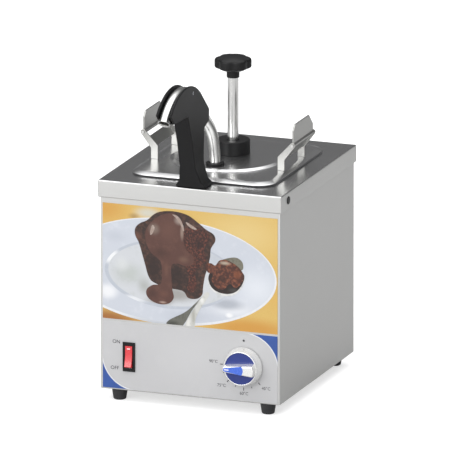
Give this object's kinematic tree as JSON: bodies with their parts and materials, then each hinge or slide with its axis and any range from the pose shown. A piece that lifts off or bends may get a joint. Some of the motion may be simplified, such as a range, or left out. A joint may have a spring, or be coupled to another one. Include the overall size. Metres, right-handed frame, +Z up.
{
  "type": "heated sauce dispenser",
  "caption": "Countertop bain-marie sauce dispenser: steel case, lift-out gastronorm pan, hinged-handle lid with push pump, curved spout, rocker switch and thermostat knob.",
  "frame": {"origin": "middle of the case's footprint, on the surface the feet stand on", "axes": "+X the object's right-hand side seen from the front, +Y the back, +Z up; the spout points along -Y"},
  "size_m": [0.2116, 0.3322, 0.3646],
  "materials": {
    "steel_panel": "satin brushed stainless sheet",
    "steel_deck": "bright stainless sheet that mirrors the dark room",
    "polished_steel": "polished stainless",
    "bracket_steel": "satin stainless strip",
    "zinc_screw": "zinc plated",
    "silver_trim": "satin chrome",
    "black_plastic": "fine moulded grain",
    "foot_rubber": "matt",
    "blue_plastic": "satin moulded",
    "red_plastic": "translucent gloss",
    "white_plastic": "natural acetal",
    "picture_print": "printed film, gloss laminate",
    "control_print": "printed film, gloss laminate",
    "insulation_felt": "ceramic fibre felt",
    "element_sheath": "heat-tinted sheath",
    "copper": "drawn copper",
    "brass": "stamped brass"
  },
  "bodies": {
    "housing": {"case_shell": "steel_panel", "rear_panel": "steel_panel", "base_plate": "steel_panel", "top_deck": "steel_deck", "deck_plugs": "black_plastic", "deck_screws": "zinc_screw", "rear_screws": "zinc_screw", "base_screws": "zinc_screw", "feet": "foot_rubber", "foot_screws": "zinc_screw", "cable_gland": "black_plastic", "gland_nut": "black_plastic", "well": "steel_panel", "insulation": "insulation_felt", "heating_element": "element_sheath", "element_clamp": "zinc_screw", "clamp_nuts": "zinc_screw", "overheat_cutout": "black_plastic", "sensor_bulb": "copper", "terminal_block": "white_plastic", "picture_film": "picture_print", "control_film": "control_print", "switch_housing": "black_plastic", "switch_terminals": "brass", "thermostat_body": "white_plastic", "thermostat_screws": "zinc_screw"},
    "pan": {"container": "steel_panel"},
    "lid_pump": {"lid": "steel_deck", "lid_seal": "foot_rubber", "hub_cap": "black_plastic", "rod_guide": "white_plastic", "pump_barrel": "polished_steel", "spring_seat": "polished_steel", "return_spring": "polished_steel", "valve_block": "white_plastic", "spout_collar": "black_plastic", "spout_tube": "polished_steel", "support_left": "black_plastic", "support_right": "black_plastic", "support_screws": "zinc_screw", "grub_screw": "zinc_screw", "left_bracket": "bracket_steel", "right_bracket": "bracket_steel", "left_hinge_pin": "polished_steel", "right_hinge_pin": "polished_steel"},
    "plunger": {"plunger_rod": "polished_steel", "piston": "white_plastic", "piston_seal": "foot_rubber", "palm_knob": "black_plastic"},
    "inlet_valve": {"inlet_ball": "polished_steel"},
    "outlet_valve": {"outlet_ball": "polished_steel"},
    "handle_left": {"left_handle": "bracket_steel"},
    "handle_right": {"right_handle": "bracket_steel"},
    "rocker": {"switch_rocker": "red_plastic"},
    "thermostat_knob": {"thermostat_shaft": "zinc_screw", "dial_ring": "silver_trim", "dial_face": "blue_plastic", "dial_grip": "silver_trim"}
  },
  "joints": [
    {"name": "plunger_stroke", "type": "slide", "parent": "lid_pump", "child": "plunger", "axis": [0, 0, -1], "range_m": [0, 0.055], "stiffness_N_per_m": 260, "springref_m": -0.05, "deforming": ["return_spring"]},
    {"name": "inlet_ball_lift", "type": "slide", "parent": "lid_pump", "child": "inlet_valve", "axis": [0, 0, 1], "range_m": [0, 0.003]},
    {"name": "outlet_ball_lift", "type": "slide", "parent": "lid_pump", "child": "outlet_valve", "axis": [0, 0, 1], "range_m": [0, 0.003]},
    {"name": "left_handle_fold", "type": "hinge", "parent": "lid_pump", "child": "handle_left", "pos_m": [-0.0855, 0.0015, 0.2785], "axis": [0, 1, 0], "range_deg": [0, 115]},
    {"name": "right_handle_fold", "type": "hinge", "parent": "lid_pump", "child": "handle_right", "pos_m": [0.0855, 0.0015, 0.2785], "axis": [0, -1, 0], "range_deg": [0, 115]},
    {"name": "rocker_tilt", "type": "hinge", "parent": "housing", "child": "rocker", "pos_m": [-0.0698, -0.1145, 0.051], "axis": [1, 0, 0], "range_deg": [0, 16]},
    {"name": "thermostat_turn", "type": "hinge", "parent": "housing", "child": "thermostat_knob", "pos_m": [0.0614, -0.122, 0.053], "axis": [0, 1, 0], "range_deg": [-270, 0]},
    {"name": "container_lift", "type": "slide", "parent": "housing", "child": "pan", "axis": [0, 0, 1], "range_m": [0, 0.17]},
    {"name": "lid_lift", "type": "slide", "parent": "pan", "child": "lid_pump", "axis": [0, 0, 1], "range_m": [0, 0.16]}
  ]
}
